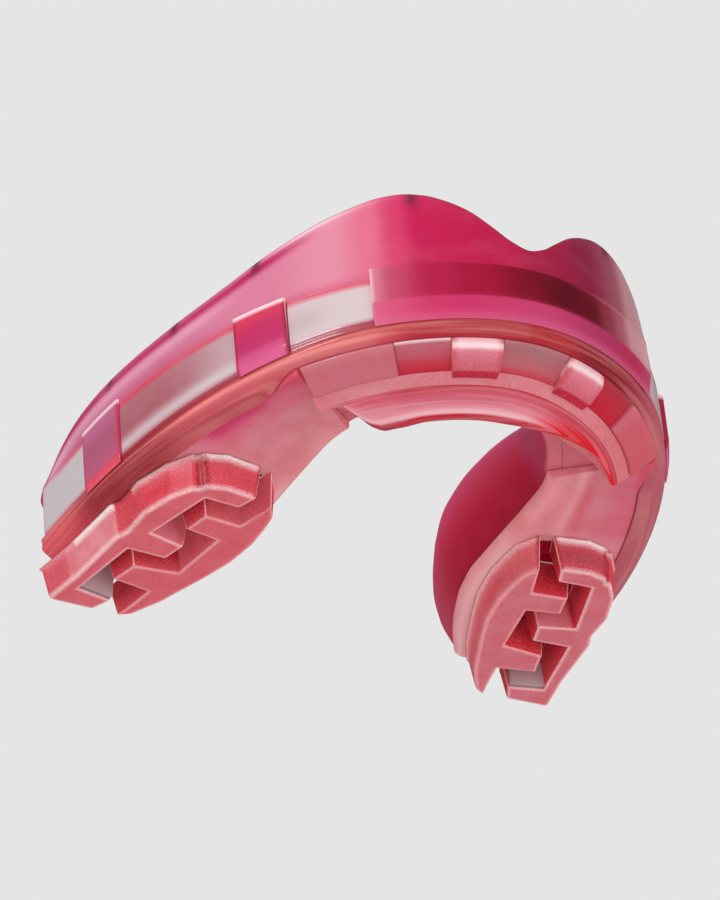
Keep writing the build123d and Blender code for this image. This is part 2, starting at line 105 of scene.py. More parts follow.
# Molar pad outlines as (station, out); the index sets are the corners on the slot's side
OUTER_PAD = ((0.636, -9.27), (0.645, -6.3), (0.664, -4.55), (0.676, -4.45), (0.680, -3.85),
             (0.72, -2.95), (0.783, -2.40), (0.842, -2.72), (0.865, -2.20), (0.985, -1.85),
             (1.062, -1.15), (1.06, -5.6), (1.0275, -6.5), (1.0165, -2.95), (0.883, -4.1),
             (0.881, -7.9), (0.833, -8.4), (0.823, -4.74), (0.691, -5.6), (0.678, -9.0))
OUTER_SLOT = {0, *range(11, 20)}
INNER_PAD = ((0.639, -11.25), (0.722, -10.87), (0.731, -7.3), (0.784, -7.1), (0.786, -10.5),
             (0.91, -10.1), (0.922, -5.85), (0.971, -5.15), (0.981, -9.0), (1.025, -8.6),
             (1.06, -8.2), (1.05, -9.3), (1.0, -10.9), (0.909, -12.7), (0.84, -13.6),
             (0.76, -13.7), (0.70, -13.1), (0.665, -12.5))
INNER_SLOT = set(range(11))
# Slot cut through the bite skin between the two pads, and the thin pane in it: (station, out)
SLOT = ((0.645, -9.65), (0.684, -9.4), (0.697, -6.1), (0.818, -5.2), (0.827, -8.8),
        (0.889, -8.35), (0.889, -4.55), (1.002, -3.4), (1.012, -6.9), (1.075, -6.2),
        (1.075, -7.7), (1.03, -8.1), (0.983, -8.4), (0.981, -4.75), (0.912, -5.45),
        (0.911, -9.6), (0.794, -10.0), (0.793, -6.7), (0.722, -6.85), (0.714, -10.4),
        (0.645, -10.8))
SLOT_PANE_FOOT = ((1.0152, -6.4), (1.0045, -3.1), (1.0160, -3.1), (1.0267, -6.4))
SLOT_PANE_HEAD = ((1.0083, -6.4), (0.9991, -3.55), (1.0106, -3.55), (1.0198, -6.4))


# ---------------------------------------------------------------------------
# Curves
# ---------------------------------------------------------------------------
def bell(value, center, width):
    return math.exp(-((value - center) / width) ** 2)


def step(value, zero, one):
    """Smooth step from 0 at `zero` to 1 at `one`; it falls when `one` is the smaller."""
    share = min(max((value - zero) / (one - zero), 0.0), 1.0)
    return share * share * (3 - 2 * share)


def natural_spline(stations, values, level_start):
    """Cubic spline with free ends, or with no slope at its start."""
    count = len(stations)
    matrix, target = np.zeros((count, count)), np.zeros(count)
    matrix[0, 0] = matrix[-1, -1] = 1.0
    if level_start:
        width = stations[1] - stations[0]
        matrix[0, :2] = width / 3, width / 6
        target[0] = (values[1] - values[0]) / width
    for i in range(1, count - 1):
        before, after = stations[i] - stations[i - 1], stations[i + 1] - stations[i]
        matrix[i, i - 1:i + 2] = before / 6, (before + after) / 3, after / 6
        target[i] = (values[i + 1] - values[i]) / after - (values[i] - values[i - 1]) / before
    bends = np.linalg.solve(matrix, target)

    def value_at(x):
        i = int(min(max(np.searchsorted(stations, x) - 1, 0), count - 2))
        width = stations[i + 1] - stations[i]
        left, right = (stations[i + 1] - x) / width, (x - stations[i]) / width
        bend = (left ** 3 - left) * bends[i] + (right ** 3 - right) * bends[i + 1]
        return float(left * values[i] + right * values[i + 1] + bend * width * width / 6)
    return value_at


def smooth_table(pairs):
    """Monotone cubic through a table; one that starts at 0 is mirrored about 0."""
    stations, values = np.array(pairs, float).T
    widths = np.diff(stations)
    grades = np.diff(values) / widths
    slopes = np.zeros(len(stations))
    for i in range(1, len(stations) - 1):
        if grades[i - 1] * grades[i] > 0:
            before, after = 2 * widths[i] + widths[i - 1], widths[i] + 2 * widths[i - 1]
            slopes[i] = (before + after) / (before / grades[i - 1] + after / grades[i])
    slopes[-1] = grades[-1]

    def value_at(x):
        x = abs(x) if stations[0] == 0 else max(x, stations[0])
        if x >= stations[-1]:
            return float(values[-1] + slopes[-1] * (x - stations[-1]))
        i = int(min(max(np.searchsorted(stations, x, side="right") - 1, 0), len(widths) - 1))
        share = (x - stations[i]) / widths[i]
        square, cube = share ** 2, share ** 3
        return float((2 * cube - 3 * square + 1) * values[i]
                     + (cube - 2 * square + share) * widths[i] * slopes[i]
                     + (-2 * cube + 3 * square) * values[i + 1]
                     + (cube - square) * widths[i] * slopes[i + 1])
    return value_at


arch_x = natural_spline(ARCH_STATIONS, ARCH_X, level_start=False)
arch_y = natural_spline(ARCH_STATIONS, ARCH_Y, level_start=True)
low_line = natural_spline(ARCH_STATIONS, WINDOW_LOW, level_start=True)
high_line = natural_spline(ARCH_STATIONS, WINDOW_HIGH, level_start=True)
rim_z, seam_out, palate_z, bar_out, lip_out = (
    smooth_table(table) for table in (RIM_Z, SEAM_OUT, PALATE_Z, BAR_OUT, LIP_OUT))


def arch_frame(pos):
    """Arch point, its outward normal, and the length of a unit of station there."""
    far, side = abs(pos), (1.0 if pos >= 0 else -1.0)
    reach = 1e-4
    start, end = max(far - reach, 0.0), far + reach
    dx = (arch_x(end) - arch_x(start)) / (end - start)
    dy = (arch_y(end) - arch_y(start)) / (end - start)
    if far < 1e-9:
        dy = 0.0
    speed = math.hypot(dx, dy)
    return side * arch_x(far), arch_y(far), side * dy / speed, -dx / speed, speed


def plan(pos, out):
    x, y, normal_x, normal_y, _ = arch_frame(pos)
    return x + out * normal_x, y + out * normal_y


def metres(x, y, z, side=1):
    return side * UNIT * x, UNIT * (y - MID_Y), UNIT * z


def window_top(far):
    return min(high_line(far), rim_z(far) - 1.3)


def window_low(far):
    return min(low_line(far), window_top(far) - 1.0)


def behind_bar(far):
    return step(far, BAR_END, BAR_END + BAR_FADE)


# ---------------------------------------------------------------------------
# Colour: every vertex is tinted from where it sits on the guard; the tints hold painted light and
# shade as well as the mouldings' own colours
# ---------------------------------------------------------------------------
def rgb(color):
    """Turns "#RRGGBB" into numbers, and passes numbers through."""
    if not isinstance(color, str):
        return color
    return np.array([int(color[i:i + 2], 16) / 255 for i in (1, 3, 5)])


def linear(color):
    shade = np.clip(rgb(color), 0, 1)
    shade = np.where(shade <= 0.04045, shade / 12.92, ((shade + 0.055) / 1.055) ** 2.4)
    return (*(float(v) for v in shade), 1.0)


def layered(color, *layers):
    """Lays (colour, weight) layers over a base colour, in order."""
    for top, weight in layers:
        weight = min(max(weight, 0.0), 1.0)
        color = rgb(color) * (1 - weight) + rgb(top) * weight
    return color


def gradient(value, *stops):
    """Eased gradient through (value, colour) stops."""
    if value <= stops[0][0]:
        return rgb(stops[0][1])
    for (start, first), (end, second) in zip(stops, stops[1:]):
        if value <= end:
            return layered(first, (second, step(value, start, end)))
    return rgb(stops[-1][1])


# ---------------------------------------------------------------------------
# Mesh builders.  A part is (vertices, faces, where each vertex sits on the guard).
# ---------------------------------------------------------------------------
def signed_area(points):
    return sum(p[0] * q[1] - q[0] * p[1] for p, q in zip(points, points[1:] + points[:1]))


def grown(points, distance):
    """Outline moved outwards by a distance."""
    points = [np.array(p, float) for p in points]
    turn = 1 if signed_area(points) > 0 else -1
    moved = []
    for i, point in enumerate(points):
        normals = []
        for edge in (point - points[i - 1], points[(i + 1) % len(points)] - point):
            edge = edge / (np.hypot(*edge) + 1e-12)
            normals.append(np.array([turn * edge[1], -turn * edge[0]]))
        miter = max(1 + float(normals[0] @ normals[1]), 0.5)
        moved.append(point + distance * (normals[0] + normals[1]) / miter)
    return moved


def edge_counts(points, longest, least=1):
    return [max(least, int(math.ceil(math.hypot(q[0] - p[0], q[1] - p[1]) / longest)))
            for p, q in zip(points, points[1:] + points[:1])]


def rounded_outline(points, radii, segments, counts, limit):
    """Rounds the corners and divides the edges of an outline.

    Yields (corner index, point, nearness to the corner's middle, share of the edge passed).
    `limit` is the share of an edge that a corner may use up."""
    points = [np.array(p, float) for p in points]
    size = len(points)
    sides = [np.hypot(*(points[(i + 1) % size] - points[i])) for i in range(size)]
    cuts = [min(radii[i], limit * sides[i - 1], limit * sides[i]) for i in range(size)]
    for i, point in enumerate(points):
        before, after = points[i - 1], points[(i + 1) % size]
        start = point + (before - point) / sides[i - 1] * cuts[i]
        end = point + (after - point) / sides[i] * cuts[i]
        for k in range(segments + 1):
            share = k / segments
            bent = (1 - share) ** 2 * start + 2 * share * (1 - share) * point + share ** 2 * end
            yield i, bent, 1.0 - abs(2 * share - 1), 0.0
        edge_end = after + (point - after) / sides[i] * cuts[(i + 1) % size]
        for k in range(1, counts[i]):
            yield i, end + (edge_end - end) * k / counts[i], 0.0, k / counts[i]


def loft_faces(rows, size):
    """Closed skin over rows of points, with a cap on the first and last."""
    faces = []
    for i in range(rows - 1):
        for j in range(size):
            k = (j + 1) % size
            faces.append((i * size + j, i * size + k, (i + 1) * size + k, (i + 1) * size + j))
    return faces + [tuple(range(size)), tuple((rows - 1) * size + j for j in range(size))]


def strip(start, end, section, radius=0.2, segments=3, end_radius=0.15, step_length=0.0105,
          end_rows=3, longest=0.45):
    """Solid lofted along the arch with every edge rounded.

    `section` is an outline of (out, z) points, or a function that gives one at a station."""
    outline_at = section if callable(section) else lambda pos: section
    start_reach = end_radius / arch_frame(start)[4]
    end_reach = end_radius / arch_frame(end)[4]
    angles = [math.pi / 2 * k / end_rows for k in range(end_rows)]
    span = end - end_reach - start - start_reach
    count = max(2, int(math.ceil(span / step_length)))
    # Each row is (station, how far the outline is drawn in)
    rows = [(start + start_reach * (1 - math.cos(a)), end_radius * (1 - math.sin(a)))
            for a in angles]
    rows += [(start + start_reach + span * i / count, 0.0) for i in range(count + 1)]
    rows += [(end - end_reach * (1 - math.cos(a)), end_radius * (1 - math.sin(a)))
             for a in reversed(angles)]
    middle = outline_at(0.5 * (start + end))
    counts = edge_counts(middle, longest)
    radii = radius if isinstance(radius, list) else [radius] * len(middle)
    verts, where = [], []
    for pos, inset in rows:
        outline = outline_at(pos)
        if inset:
            outline = grown(outline, -inset)
        for _, (out, z), _, _ in rounded_outline(outline, radii, segments, counts, 0.46):
            verts.append(metres(*plan(pos, out), z))
            where.append((pos, float(out), float(z)))
    return verts, loft_faces(len(rows), len(verts) // len(rows)), where


def prism(foot, head, low, high, side):
    """Straight-sided solid between two (station, out) outlines."""
    verts, where = [], []
    for z, outline in ((low, foot), (high, head)):
        verts += [metres(*plan(pos, out), z, side) for pos, out in outline]
        where += [(side * pos, out, z) for pos, out in outline]
    return verts, loft_faces(2, len(foot)), where


def pad(outline, slot_corners, side):
    """Raised molar pad with drafted walls and rounded upright corners.

    Its vertices are placed by (corner, station, side, z, level, turn, slot wall, along edge)."""
    base = [plan(*point) for point in outline]
    wide = grown(base, 1.0)
    size = len(base)
    foot, top = 0.14, PAD_TOP - 0.02
    # (height, growth of the outline) from the lowest face up
    levels = [(0.0, -0.42), (0.0, -0.17), (0.045, -0.06), (foot, 0.0)]
    for i in range(1, 8):
        z = foot + (top - 0.45 - foot) * i / 7
        levels.append((z, PAD_DRAFT * z / PAD_TOP))
    levels += [(top - 0.25, PAD_DRAFT + 0.01), (top - 0.10, PAD_DRAFT + 0.05),
               (top, PAD_DRAFT + 0.14)]
    area = signed_area(base)
    turns = []
    for i in range(size):
        a, b, c = base[i - 1], base[i], base[(i + 1) % size]
        cross = (b[0] - a[0]) * (c[1] - b[1]) - (b[1] - a[1]) * (c[0] - b[0])
        turns.append(1 if cross * area > 0 else -1)
    radii = [0.14 if i in slot_corners else 0.32 for i in range(size)]
    counts = edge_counts(base, 0.5, least=2)
    verts, where = [], []
    for level, (z, growth) in enumerate(levels):
        points = []
        for i in range(size):
            amount = min(growth, PAD_DRAFT) if i in slot_corners else growth
            points.append(np.array(base[i]) + (wide[i] - np.array(base[i])) * amount)
        for i, (x, y), bend, along in rounded_outline(points, radii, 4, counts, 0.4):
            after = (i + 1) % size
            wall = i in slot_corners and (along == 0 or after in slot_corners)
            station = outline[i][0] + (outline[after][0] - outline[i][0]) * along
            verts.append(metres(x, y, z, side))
            where.append((i, station, side, z, level, bend * turns[i], wall, along))
    return verts, loft_faces(len(levels), len(verts) // len(levels)), where


def join(parts):
    verts, faces, where = [], [], []
    for part_verts, part_faces, part_where in parts:
        first = len(verts)
        verts += part_verts
        faces += [tuple(i + first for i in face) for face in part_faces]
        where += part_where
    return verts, faces, where


def mirrored(part):
    verts, faces, where = part
    return ([(-x, y, z) for x, y, z in verts], [tuple(reversed(face)) for face in faces],
            [(-pos, out, z) for pos, out, z in where])


def weight_normals(ob):
    modifier = ob.modifiers.new("face_weight", "WEIGHTED_NORMAL")
    modifier.weight = 60
    modifier.keep_sharp = False


def painted(name, part, tint, masks):
    """Object with its tint in "paint" and each mask in an attribute of its own."""
    verts, faces, where = part
    mesh = bpy.data.meshes.new(name)
    mesh.from_pydata(verts, [], faces)
    mesh.validate()
    paint = mesh.attributes.new("paint", "FLOAT_COLOR", "POINT")
    colors = [linear(tint(*place)) for place in where]
    paint.data.foreach_set("color", np.array(colors, np.float32).ravel())
    for key, mask in masks.items():
        values = mesh.attributes.new(key, "FLOAT", "POINT")
        values.data.foreach_set("value", np.array([mask(*place) for place in where], np.float32))
    bm = bmesh.new()
    bm.from_mesh(mesh)
    bmesh.ops.recalc_face_normals(bm, faces=bm.faces)
    caps = [face for face in bm.faces if len(face.verts) > 4]
    if caps:
        bmesh.ops.triangulate(bm, faces=caps, ngon_method="BEAUTY")
    bm.to_mesh(mesh)
    bm.free()
    for polygon in mesh.polygons:
        polygon.use_smooth = True
    ob = bpy.data.objects.new(name, mesh)
    bpy.context.scene.collection.objects.link(ob)
    return ob


def register(ob, node, slot, *materials):
    for material in materials:
        ob.data.materials.append(material)
    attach(ob, "root")
    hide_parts(node)


# Station and height, which the painted highlight streaks in the materials follow
MASKS = {"at": lambda pos, out, z: pos, "up": lambda pos, out, z: z}


def build(name, part, node, slot, material, tint, masks=MASKS):
    ob = painted(name, part, tint, masks)
    weight_normals(ob)
    register(ob, node, slot, material)


def build_pair(name, node, parts, *look):
    build(name + "_left", join(parts), "left_" + node, *look)
    build(name + "_right", join([mirrored(part) for part in parts]), "right_" + node, *look)


# ---------------------------------------------------------------------------
# Sections: (out, z) outlines across the arch
# ---------------------------------------------------------------------------
FLANGE_RADII = [0.1, 0.1, 0.12, 0.12, 1.0, 0.5, 0.5, 0.5, 0.5, 1.0, 0.4, 0.1]
PALATAL_RADII = [0.06, 1.6, 0.5, 0.3, 0.3, 0.5, 0.2, 0.05]
RIM_RADII = [0.05, 0.12, 0.3, 0.3, 0.35, 0.25, 0.1, 0.05, 0.05, 0.05]
BAND_RADII = [0.05, 0.02, 0.05, 0.06, 0.10, 0.12, 0.05, 0.02, 0.05]
RIB_RADII = [0.05, 0.02, 0.05, 0.08, 0.12, 0.10, 0.10, 0.05, 0.02, 0.05]
BAR_RADII = [0.02, 0.03, 0.08, 0.12, 0.05, 0.3, 0.1]
LIP_RADII = [0.1, 0.6, 0.12, 0.3, 0.3, 0.15, 0.05]
BLOCK_RADII = [0.02, 0.10, 0.12, 0.10, 0.12, 0.03, 0.03, 0.02]
SKIN_RADII = [0.03, 0.2, 1.2, 1.6, 1.6, 0.45, 0.25, 0.03]


def flange_heights(far):
    """Foot, middle and top of the flange above the windows."""
    line, top = window_top(far) + GAP, rim_z(far)
    return line, 0.5 * (line + top), top


def flange_section(pos):
    line, mid, top = flange_heights(abs(pos))
    return [(-POCKET - GAP, SHELL_LOW), (-POCKET - GAP, line), (-0.14, line),
            (-0.20, line + 0.45), (-0.34, mid), (-0.62, top - 0.7), (-1.0, top - 0.02),
            (-1.62, top - 0.02), (FLANGE_BACK_TOP, top - 0.7), (FLANGE_BACK_MID, mid),
            (WALL_BACK, FLOOR_TOP), (WALL_BACK, SHELL_LOW)]


def flange_back(far, z):
    """Out of the flange's inner face at a height."""
    _, mid, top = flange_heights(far)
    if z > mid:
        rise = (z - mid) / (top - 0.7 - mid)
        return FLANGE_BACK_MID + (FLANGE_BACK_TOP - FLANGE_BACK_MID) * rise
    return WALL_BACK + (FLANGE_BACK_MID - WALL_BACK) * (z - FLOOR_TOP) / (mid - FLOOR_TOP)


def floor_section(pos):
    inner, outer = seam_out(pos) + SEAM_WIDTH, WALL_BACK - GAP
    return [(outer, SHELL_LOW), (outer, FLOOR_TOP), ((inner + outer) / 2, FLOOR_TOP - 0.25),
            (inner, FLOOR_TOP), (inner, SHELL_LOW)]


def palatal_tip(pos):
    return seam_out(pos) - LEAN * (palate_z(pos) - FLOOR_LOW)


def palatal_section(pos):
    seam, top, tip = seam_out(pos), palate_z(pos), palatal_tip(pos)
    foot = seam + SEAM_WIDTH - GAP
    return [(seam, SHELL_LOW), (0.5 * (seam + tip) - 0.22, 0.5 * (FLOOR_LOW + top)),
            (tip + 0.1, top - 0.75), (tip + 0.45, top - 0.02), (tip + 0.95, top - 0.08),
            (tip + 1.25, top - 0.8), (foot, FLOOR_TOP), (foot, SHELL_LOW)]


def band_section(pos):
    low, high = window_low(abs(pos)), window_top(abs(pos))
    return [(-POCKET, low), (GAP, low), (GAP, 5.5), (0.12, 5.45), (BAND_OUT, 7.7),
            (BAND_OUT, high + BAND_TOP), (-0.1, high + BAND_TOP), (-0.1, high), (-POCKET, high)]


def rib_section(pos):
    far = abs(pos)
    low, high = window_low(far), window_top(far)
    face = RIB_OUT - RIB_TAPER * far
    return [(-POCKET, low), (GAP, low), (GAP, low - 0.75), (0.15, low - 0.75),
            (face - 0.05, low + 0.1), (face, high + 0.3), (face - 0.25, high + 0.55),
            (-0.1, high + 0.55), (-0.1, high), (-POCKET, high)]


def window_section(pos):
    low, high = window_low(abs(pos)), window_top(abs(pos))
    return [(-POCKET, low), (0.0, low), (0.04, 0.5 * (low + high)), (0.0, high), (-POCKET, high)]


def rim_section(pos):
    """Its inner part drops and widens behind the front bar."""
    low = window_low(abs(pos)) - GAP
    past = behind_bar(abs(pos))
    return [(-POCKET, low), (0.0, low), (-0.16, low - 0.55), (-0.02, low - 1.0),
            (-0.32, low - 1.4), (-0.82 - 0.58 * past, 4.50 - 1.03 * past),
            (-1.05 - 1.55 * past, 4.36 - 0.86 * past), (-1.10 - 1.56 * past, 4.40 - 0.86 * past),
            (-1.12 - 1.55 * past, BITE_TOP), (-1.09 - 0.03 * past, 4.58 - 0.11 * past)]


def depth_scale(out):
    """Depth of the bar or lip behind the pane row, 1 at out = -8."""
    return (out + 4.8) / -3.2


def bar_section(pos):
    depth = depth_scale(bar_out(pos))
    back = max(seam_out(pos) + 0.1, -9.2 * depth - 0.6 * (1 - depth))
    return [(-1.33, BITE_TOP), (-3.87, 2.88), (-3.60, 2.51), (-4.77, 1.84), (-4.97, 2.62),
            (-4.97 - 3.95 * depth, 2.62 - 0.3 * depth), (min(back, -5.6), BITE_TOP)]


def lip_section(pos):
    depth = depth_scale(lip_out(pos))
    return [(-4.8, 1.8), (-4.8 - 1.5 * depth, 1.8 - 0.50 * depth),
            (-4.8 - 2.95 * depth, 1.8 - 0.98 * depth), (-5.0 - 3.85 * depth, 2.1 - 1.12 * depth),
            (-5.0 - 4.05 * depth, 2.45 - 0.72 * depth), (-5.0 - 3.95 * depth, 2.59 - 0.3 * depth),
            (-5.0, 2.59)]


# The sloping row along the front: its outer and inner ends, and the way its face looks
ROW_OUTER, ROW_INNER, ROW_NORMAL = (-1.15, 4.30), (-3.55, 2.55), (0.589, -0.808)


def row_point(end, lift):
    return end[0] + lift * ROW_NORMAL[0], end[1] + lift * ROW_NORMAL[1]


ROW_BACK_INNER, ROW_BACK_OUTER = row_point(ROW_INNER, -0.42), row_point(ROW_OUTER, -0.20)
PANE_SECTION = [ROW_OUTER, ROW_INNER, ROW_BACK_INNER, ROW_BACK_OUTER]
SHOULDER_SECTION = [ROW_OUTER, row_point(ROW_OUTER, SHOULDER_OUT),
                    row_point(ROW_INNER, SHOULDER_OUT), ROW_INNER, ROW_BACK_INNER, ROW_BACK_OUTER]
BLOCK_SECTION = [ROW_BACK_OUTER, ROW_OUTER, (-1.46, 3.20), (-2.86, 2.19), (-3.95, 1.98),
                 (-3.93, 2.27), (-3.56, 2.49), ROW_BACK_INNER]


def skin_section(pos):
    far, seam = abs(pos), seam_out(pos)
    rise = 0.62 * bell(far, 0.50, 0.085)
    edge = -1.19 - 1.55 * behind_bar(far)
    return [(edge, BITE_TOP), (edge, 3.62), (edge - 2.2, 3.47 + rise), (0.55 * seam, 3.52 + rise),
            (0.8 * seam, 3.50 + 0.5 * rise), (seam + 0.6, 3.42), (seam, 3.85), (seam, BITE_TOP)]


def fin(section, pos):
    return strip(pos - FIN_HALF, pos + FIN_HALF, section, radius=0.16, segments=2,
                 end_radius=0.12, end_rows=2)


def outer_fin_section(far):
    top, low = rim_z(far) - 1.9, FLOOR_TOP + 0.05

    def face(z):
        return flange_back(far, z) - GAP
    return [(face(low), low), (face(top), top), (face(top - 1.2) - 0.55, top - 1.2),
            (face(FLOOR_TOP + 0.6) - 0.9, FLOOR_TOP + 0.6), (face(low) - 0.9, low)]


def inner_fin_section(far):
    top, foot = palate_z(far), seam_out(far) + SEAM_WIDTH - GAP
    slope = (foot - palatal_tip(far) - 1.25) / (top - 0.8 - FLOOR_TOP)
    high, low = top - 1.3, FLOOR_TOP + 0.05

    def face(z):
        return foot - slope * (z - FLOOR_TOP) + 0.05
    return [(face(low), low), (face(high), high), (face(high - 0.8) + 0.55, high - 0.8),
            (face(low) + 0.85, low + 0.5), (face(low) + 0.85, low)]


# ---------------------------------------------------------------------------
# Materials
# ---------------------------------------------------------------------------
BLACK, WHITE = (0, 0, 0, 1), (1, 1, 1, 1)


class Graph:
    """Node tree of a material or world."""

    def __init__(self, owner):
        owner.use_nodes = True
        self.tree = owner.node_tree
        self.tree.nodes.clear()

    def node(self, kind, inputs=None, **settings):
        """New node; each input is linked when given a socket, and set otherwise."""
        new = self.tree.nodes.new("ShaderNode" + kind)
        for key, value in settings.items():
            setattr(new, key, value)
        for key, value in (inputs or {}).items():
            if hasattr(value, "links"):
                self.tree.links.new(value, new.inputs[key])
            else:
                new.inputs[key].default_value = value
        return new

    def attribute(self, name, output="Fac"):
        return self.node("Attribute", attribute_name=name).outputs[output]

    def math(self, first, second, third=0.0, operation="MULTIPLY", clamp=False):
        return self.node("Math", {0: first, 1: second, 2: third},
                         operation=operation, use_clamp=clamp).outputs[0]

    def ramp(self, value, *stops, interpolation="EASE"):
        """Ramp between two (position, colour) stops."""
        new = self.node("ValToRGB", {0: value})
        new.color_ramp.interpolation = interpolation
        for element, (position, color) in zip(new.color_ramp.elements, stops):
            element.position = position
            element.color = color
        return new.outputs["Color"]

    def mix(self, share, first, second):
        return self.node("Mix", {"Factor": share, 6: first, 7: linear(second)},
                         data_type="RGBA").outputs[2]

    def mix_shader(self, share, first, second):
        inputs = {0: share, 1: first.outputs[0], 2: second.outputs[0]}
        return self.node("MixShader", inputs)

    def noise(self, vector, scale, detail, roughness):
        return self.node("TexNoise", {"Vector": vector, "Scale": scale, "Detail": detail,
                                      "Roughness": roughness}).outputs["Fac"]


def plastic(name, *, rough, coat, coat_rough, sss, spec=0.25, alpha=1.0, streak=0.0,
            streak_at=None, streak_scale=None, tint=None, grain=0.0, spark=0.0,
            spark_tint="#FFD8D8", bump=0.0, glow=0.15, fixed=None):
    """Translucent moulding coloured by "paint", or by `fixed`.

    streak: strength of the tinted streaks, which are painted highlights; streak_at: their stretch
    along the arch and upwards
    grain:  strength of the soft red clouds
    spark:  strength of the painted glints on the frosting, brightest where the painted highlight
    "hl" is high; bump: the frosting's relief
    glow:   emission in the piece's own colour"""
    material = bpy.data.materials.new(name)
    graph = Graph(material)
    color = linear(fixed) if fixed else graph.attribute("paint", "Color")
    # Pale streaks in `tint`: painted highlights
    if streak:
        along = graph.math(graph.attribute("at"), streak_at[0])
        upward = graph.math(graph.attribute("up"), streak_at[1])
        place = graph.node("CombineXYZ", {0: along, 1: upward, 2: 0.0}).outputs[0]
        streaks = graph.noise(place, scale=streak_scale, detail=3.0, roughness=0.55)
        streaks = graph.ramp(streaks, (0.42, BLACK), (0.68, WHITE))
        color = graph.mix(graph.math(streaks, streak), color, tint)
    if grain or spark:
        place = graph.node("TexCoord").outputs["Object"]
        place = graph.node("Mapping", {"Vector": place}).outputs["Vector"]
    if grain:
        clouds = graph.noise(place, scale=420.0, detail=3.0, roughness=0.55)
        clouds = graph.ramp(clouds, (0.35, BLACK), (0.65, WHITE))
        color = graph.mix(graph.math(clouds, grain), color, "#C8323F")
    relief = {}
    if spark:
        frost_and_glint_noise = graph.noise(place, scale=6500.0, detail=2.0, roughness=0.6)
        # Bright specks as painted glints, then a pale wash as painted highlight where "hl" is
        # high, then dark specks
        hot = graph.math(graph.attribute("hl"), 1.2, 0.14, operation="MULTIPLY_ADD")
        specks = graph.math(graph.ramp(frost_and_glint_noise, (0.47, BLACK), (0.66, WHITE)), spark)
        color = graph.mix(graph.math(specks, hot, clamp=True), color, spark_tint)
        wash = graph.math(graph.attribute("hl"), 0.80, clamp=True)
        color = graph.mix(wash, color, "#FFF2F0")
        dark = graph.ramp(frost_and_glint_noise, (0.30, WHITE), (0.47, BLACK))
        color = graph.mix(graph.math(dark, 0.20 * spark), color, "#B4283C")
        bumps = {"Strength": bump, "Distance": 0.00005, "Height": frost_and_glint_noise}
        relief = {"Normal": graph.node("Bump", bumps).outputs[0]}
    surface = graph.node("BsdfPrincipled", {
        "Base Color": color, "Roughness": rough, "Coat Weight": coat,
        "Coat Roughness": coat_rough, "Specular IOR Level": spec, "Alpha": alpha,
        "Subsurface Weight": sss, "Subsurface Scale": 0.0012,
        "Subsurface Radius": (1.0, 0.3, 0.35),
        "Emission Color": color, "Emission Strength": glow, **relief})
    graph.node("OutputMaterial", {"Surface": surface.outputs[0]})
    return material


FLANGE = plastic("flange_pink", rough=0.28, coat=0.35, coat_rough=0.12, sss=0.15, alpha=0.95,
                 streak=0.04, streak_at=(5.0, 0.18), streak_scale=1.6, tint="#F2B4C6", glow=0.14)
PALATE = plastic("fit_crimson", rough=0.30, coat=0.30, coat_rough=0.12, sss=0.25, grain=0.10)
BAND = plastic("band_crimson", rough=0.30, coat=0.25, coat_rough=0.10, sss=0.15, spec=0.2,
               grain=0.05, glow=0.10)
RIB = plastic("rib_magenta", rough=0.25, coat=0.35, coat_rough=0.08, sss=0.15, spec=0.2)
WINDOW = plastic("window_clear", rough=0.20, coat=0.35, coat_rough=0.06, sss=0.1, alpha=0.93,
                 streak=0.08, streak_at=(7.0, 0.25), streak_scale=1.5, tint="#DDD0D2")
RIM = plastic("rim_salmon", rough=0.25, coat=0.45, coat_rough=0.07, sss=0.2,
              streak=0.28, streak_at=(2.2, 1.5), streak_scale=1.7, tint="#EA9C98")
LIP = plastic("lip_clear", rough=0.20, coat=0.5, coat_rough=0.06, sss=0.2,
              streak=0.22, streak_at=(1.6, 4.0), streak_scale=1.8, tint="#F3CBD0")
ROSE = plastic("pane_rose", rough=0.25, coat=0.4, coat_rough=0.08, sss=0.2, grain=0.12, glow=0.14)
PAD = plastic("bite_frosted", rough=0.42, coat=0.15, coat_rough=0.3, sss=0.3, grain=0.30,
              spark=0.75, bump=0.32)
BLOCK = plastic("block_frosted", rough=0.36, coat=0.2, coat_rough=0.25, sss=0.25, grain=0.15,
                spark=0.55, spark_tint="#F7BCC4", bump=0.35)
SKIN = plastic("bite_skin", rough=0.34, coat=0.25, coat_rough=0.18, sss=0.3, grain=0.22,
               spark=0.20, bump=0.12)
BAR = plastic("bar_frosted", rough=0.38, coat=0.2, coat_rough=0.25, sss=0.3, grain=0.28,
              spark=0.55, bump=0.25)
# The slot's cut walls take a fixed dark crimson as painted shade inside the slot
SLOT_WALL = plastic("channel_wall", rough=0.32, coat=0.2, coat_rough=0.15, sss=0.2,
                    fixed="#A20E26")


